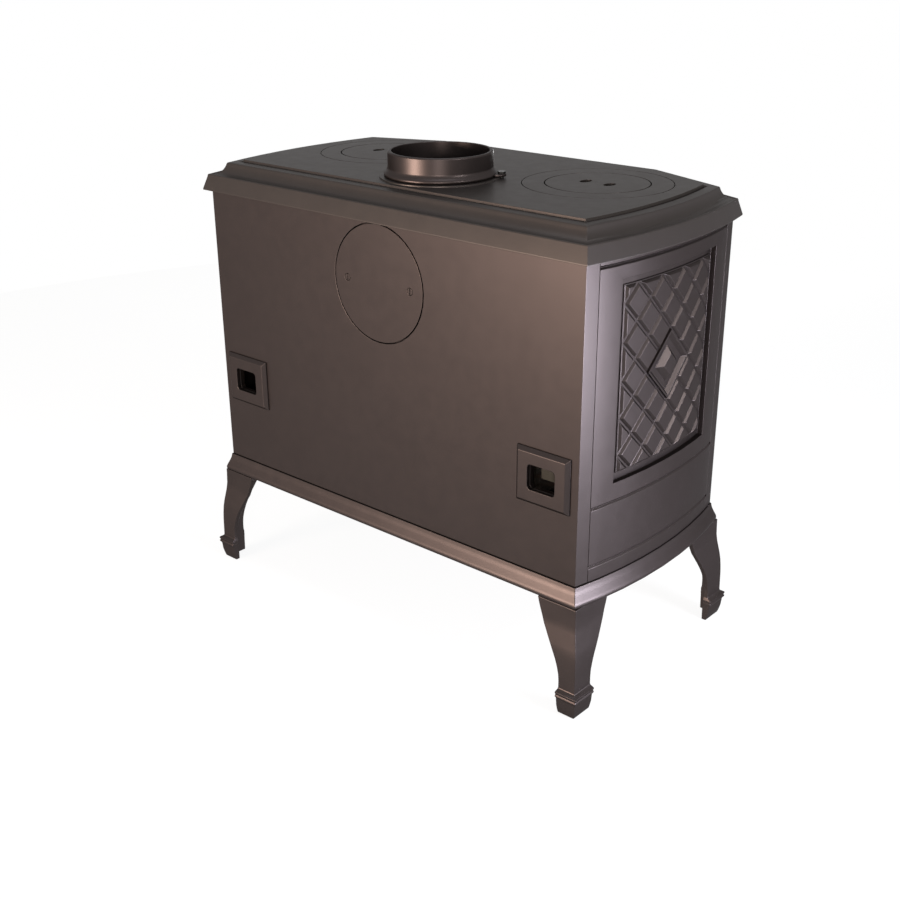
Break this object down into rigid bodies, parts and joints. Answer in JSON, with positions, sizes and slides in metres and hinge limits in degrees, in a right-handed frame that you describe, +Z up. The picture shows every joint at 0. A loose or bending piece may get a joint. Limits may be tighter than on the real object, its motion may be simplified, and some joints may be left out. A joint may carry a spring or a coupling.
{
  "type": "cast iron wood stove",
  "caption": "Freestanding cast iron wood stove: bowed sides with a diamond lattice, glazed door, ash drawer, lift-out hob plates, top flue collar and cabriole legs.",
  "frame": {"origin": "centre of the footprint, on the floor", "axes": "+X to the right seen from the front, -Y towards the door, +Z up"},
  "size_m": [0.7632, 0.4864, 0.7077],
  "materials": {
    "graphite_cast_iron": "satin graphite stove paint",
    "graphite_top_plate": "satin graphite stove paint",
    "bare_cast_iron": "bare, heat darkened",
    "zinc_plated_steel": "dull zinc",
    "black_steel": "black oxide",
    "fireclay_brick": "fired clay",
    "baffle_insulation": "pressed mineral board",
    "ceramic_glass": "clear",
    "rope_seal": "woven fibre",
    "black_phenolic": "moulded, low gloss"
  },
  "bodies": {
    "stove_body": {"base_plate": "graphite_cast_iron", "rear_panel": "graphite_cast_iron", "front_casting": "graphite_cast_iron", "side_casting_right": "graphite_cast_iron", "side_casting_left": "graphite_cast_iron", "leg_rear_right": "graphite_cast_iron", "leg_rear_left": "graphite_cast_iron", "leg_front_right": "graphite_cast_iron", "leg_front_left": "graphite_cast_iron", "flue_collar": "graphite_cast_iron", "air_inlet_frame_right": "graphite_cast_iron", "air_inlet_frame_left": "graphite_cast_iron", "blanking_plate": "graphite_cast_iron", "top_plate": "graphite_top_plate", "hearth_plate": "bare_cast_iron", "fire_grate": "bare_cast_iron", "log_guard": "bare_cast_iron", "leg_bolt_rear_right": "zinc_plated_steel", "leg_bolt_rear_left": "zinc_plated_steel", "leg_bolt_front_right": "zinc_plated_steel", "leg_bolt_front_left": "zinc_plated_steel", "tie_bolt_rear_right": "zinc_plated_steel", "tie_bolt_rear_left": "zinc_plated_steel", "tie_bolt_front_right": "zinc_plated_steel", "tie_bolt_front_left": "zinc_plated_steel", "hinge_pin_lower": "zinc_plated_steel", "hinge_pin_upper": "zinc_plated_steel", "collar_screw_right": "black_steel", "collar_screw_left": "black_steel", "blanking_plate_screw_right": "black_steel", "blanking_plate_screw_left": "black_steel", "rear_firebrick": "fireclay_brick", "side_firebrick_right": "fireclay_brick", "side_firebrick_left": "fireclay_brick", "baffle_board": "baffle_insulation"},
    "door": {"door_frame": "graphite_cast_iron", "door_glass": "ceramic_glass", "glass_gasket": "rope_seal", "glass_clip_upper": "zinc_plated_steel", "glass_clip_screw_upper": "zinc_plated_steel", "glass_clip_lower": "zinc_plated_steel", "glass_clip_screw_lower": "zinc_plated_steel", "door_rope_seal": "rope_seal"},
    "handle": {"handle_spindle": "zinc_plated_steel", "handle_lever": "black_steel", "handle_grip": "black_phenolic", "latch_tongue": "black_steel"},
    "ash_drawer": {"ash_pan": "zinc_plated_steel", "ash_drawer_front": "graphite_cast_iron", "ash_drawer_knob": "black_phenolic"},
    "primary_air": {"primary_air_slide": "black_steel", "primary_air_knob": "black_phenolic"},
    "airwash": {"airwash_slide": "black_steel", "airwash_knob": "black_phenolic"},
    "ring_right": {"hob_ring_right": "graphite_top_plate"},
    "disc_right": {"hob_disc_right": "graphite_top_plate"},
    "ring_left": {"hob_ring_left": "graphite_top_plate"},
    "disc_left": {"hob_disc_left": "graphite_top_plate"}
  },
  "joints": [
    {"name": "door_hinge", "type": "hinge", "parent": "stove_body", "child": "door", "pos_m": [-0.199, -0.19645, 0.45], "axis": [0, 0, -1], "range_deg": [0, 110]},
    {"name": "handle_turn", "type": "hinge", "parent": "door", "child": "handle", "pos_m": [0.152, -0.19775, 0.448], "axis": [0, -1, 0], "range_deg": [0, 80]},
    {"name": "ash_drawer_slide", "type": "slide", "parent": "stove_body", "child": "ash_drawer", "axis": [0, -1, 0], "range_m": [0, 0.28]},
    {"name": "primary_air_slide", "type": "slide", "parent": "ash_drawer", "child": "primary_air", "axis": [1, 0, 0], "range_m": [0, 0.026]},
    {"name": "airwash_slide", "type": "slide", "parent": "stove_body", "child": "airwash", "axis": [1, 0, 0], "range_m": [-0.022, 0.022]},
    {"name": "hob_ring_lift_right", "type": "slide", "parent": "stove_body", "child": "ring_right", "axis": [0, 0, 1], "range_m": [0, 0.06]},
    {"name": "hob_disc_lift_right", "type": "slide", "parent": "ring_right", "child": "disc_right", "axis": [0, 0, 1], "range_m": [0, 0.06]},
    {"name": "hob_ring_lift_left", "type": "slide", "parent": "stove_body", "child": "ring_left", "axis": [0, 0, 1], "range_m": [0, 0.06]},
    {"name": "hob_disc_lift_left", "type": "slide", "parent": "ring_left", "child": "disc_left", "axis": [0, 0, 1], "range_m": [0, 0.06]}
  ]
}
